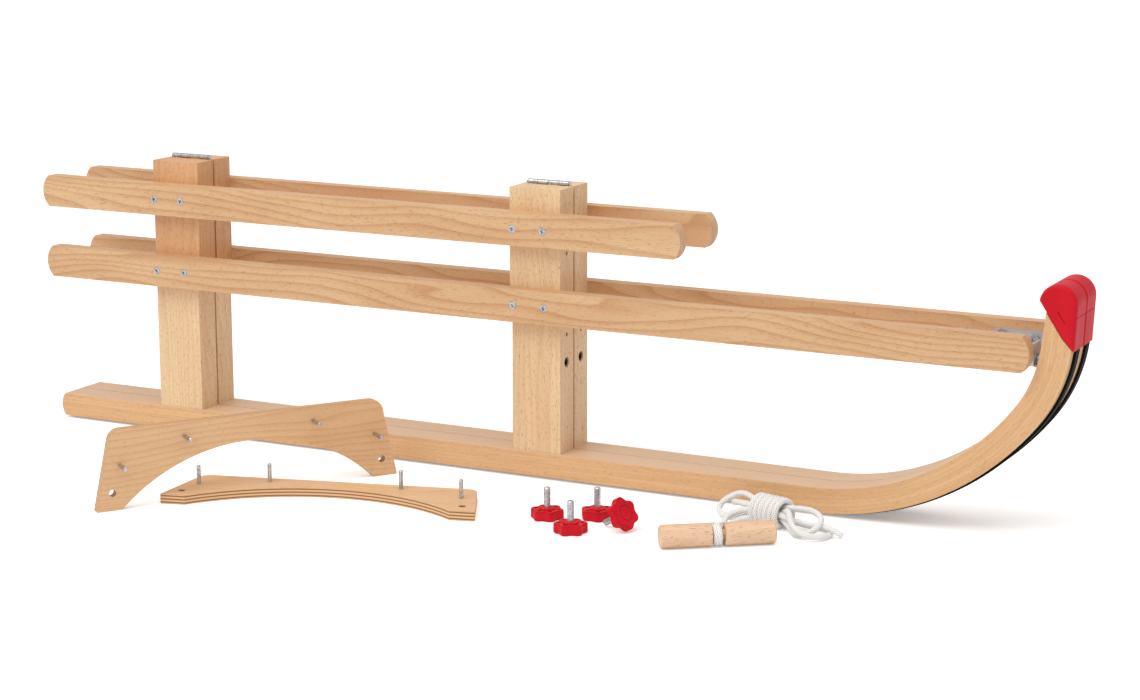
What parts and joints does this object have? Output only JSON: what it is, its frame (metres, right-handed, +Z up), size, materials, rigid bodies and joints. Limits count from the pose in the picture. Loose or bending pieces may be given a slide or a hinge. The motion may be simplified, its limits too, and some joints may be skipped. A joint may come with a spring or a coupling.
{
  "type": "folding wooden sled",
  "caption": "Folding wooden sled with bent laminated runners, slatted seat halves on hinged trestles, loose arched braces, red star knobs and a white pull rope with a wooden grip.",
  "frame": {"origin": "on the ground under the near (right) runner, at the middle of its straight flat stretch and of its width", "axes": "+X forward to the horns, +Y from the right half to the left half, +Z up"},
  "size_m": [1.0943, 0.3645, 0.2866],
  "materials": {
    "beech": "pale beech, clear satin varnish, laminated where it is bent",
    "birch_ply": "thin plywood, clear varnish, layers showing on the edges",
    "zinc": "zinc plated steel",
    "red_plastic": "red moulded plastic, glossy with a fine grain",
    "black_strip": "black running strip",
    "white_rope": "white braided rope"
  },
  "bodies": {
    "right_leg_frame": {"right_runner": "beech", "right_sole": "black_strip", "right_tip_cap": "red_plastic", "right_front_leg": "beech", "right_rear_leg": "beech", "right_insert_nuts": "zinc", "right_nose_bolt": "zinc"},
    "right_seat_frame": {"right_front_beam": "beech", "right_rear_beam": "beech", "right_pivot_pins": "zinc", "right_upper_slat": "beech", "right_lower_slat": "beech", "right_slat_screws": "zinc", "right_nose_bracket": "zinc", "right_bracket_screws": "zinc", "front_hinge_right_leaf": "zinc", "rear_hinge_right_leaf": "zinc", "right_hinge_screws": "zinc", "front_hinge_pin": "zinc", "rear_hinge_pin": "zinc"},
    "left_leg_frame": {"left_runner": "beech", "left_sole": "black_strip", "left_tip_cap": "red_plastic", "left_front_leg": "beech", "left_rear_leg": "beech", "left_insert_nuts": "zinc", "left_nose_bolt": "zinc"},
    "left_seat_frame": {"left_front_beam": "beech", "left_rear_beam": "beech", "left_pivot_pins": "zinc", "left_upper_slat": "beech", "left_lower_slat": "beech", "left_slat_screws": "zinc", "left_nose_bracket": "zinc", "left_bracket_screws": "zinc", "front_hinge_left_leaf": "zinc", "rear_hinge_left_leaf": "zinc", "left_hinge_screws": "zinc"},
    "front_brace_unit": {"front_brace": "birch_ply", "front_brace_pegs": "zinc"},
    "rear_brace_unit": {"rear_brace": "birch_ply", "rear_brace_pegs": "zinc"},
    "knob_unit_1": {"star_knob_1": "red_plastic", "knob_stud_1": "zinc"},
    "knob_unit_2": {"star_knob_2": "red_plastic", "knob_stud_2": "zinc"},
    "knob_unit_3": {"star_knob_3": "red_plastic", "knob_stud_3": "zinc"},
    "knob_unit_4": {"star_knob_4": "red_plastic", "knob_stud_4": "zinc"},
    "pull_rope_unit": {"rope_handle": "beech", "rope_winding": "white_rope", "rope_lead": "white_rope", "rope_hank": "white_rope"}
  },
  "joints": [
    {"name": "right_leg_pivot", "type": "hinge", "parent": "right_leg_frame", "child": "right_seat_frame", "pos_m": [0, 0.0003, 0.1625], "axis": [1, 0, 0], "range_deg": [-74, 0]},
    {"name": "centre_fold", "type": "hinge", "parent": "right_seat_frame", "child": "left_seat_frame", "pos_m": [0, 0.01535, 0.2843], "axis": [1, 0, 0], "range_deg": [0, 180]},
    {"name": "left_leg_pivot", "type": "hinge", "parent": "left_seat_frame", "child": "left_leg_frame", "pos_m": [0, 0.0304, 0.1625], "axis": [1, 0, 0], "range_deg": [-74, 0]},
    {"name": "front_brace_lift", "type": "slide", "parent": "right_leg_frame", "child": "front_brace_unit", "axis": [0, 0, 1], "range_m": [0, 0.3]},
    {"name": "rear_brace_draw", "type": "slide", "parent": "right_leg_frame", "child": "rear_brace_unit", "axis": [0, -1, 0], "range_m": [0, 0.3]},
    {"name": "knob_1_lift", "type": "slide", "parent": "right_leg_frame", "child": "knob_unit_1", "axis": [0, 0, 1], "range_m": [0, 0.3]},
    {"name": "knob_2_lift", "type": "slide", "parent": "right_leg_frame", "child": "knob_unit_2", "axis": [0, 0, 1], "range_m": [0, 0.3]},
    {"name": "knob_3_lift", "type": "slide", "parent": "right_leg_frame", "child": "knob_unit_3", "axis": [0, 0, 1], "range_m": [0, 0.3]},
    {"name": "knob_4_lift", "type": "slide", "parent": "right_leg_frame", "child": "knob_unit_4", "axis": [0, 0, 1], "range_m": [0, 0.3]},
    {"name": "pull_rope_draw", "type": "slide", "parent": "right_leg_frame", "child": "pull_rope_unit", "axis": [0, -1, 0], "range_m": [0, 0.25]}
  ],
  "couplings": [
    {"joint": "right_leg_pivot", "follows": "centre_fold", "ratio": -0.41111},
    {"joint": "left_leg_pivot", "follows": "centre_fold", "ratio": -0.41111}
  ]
}
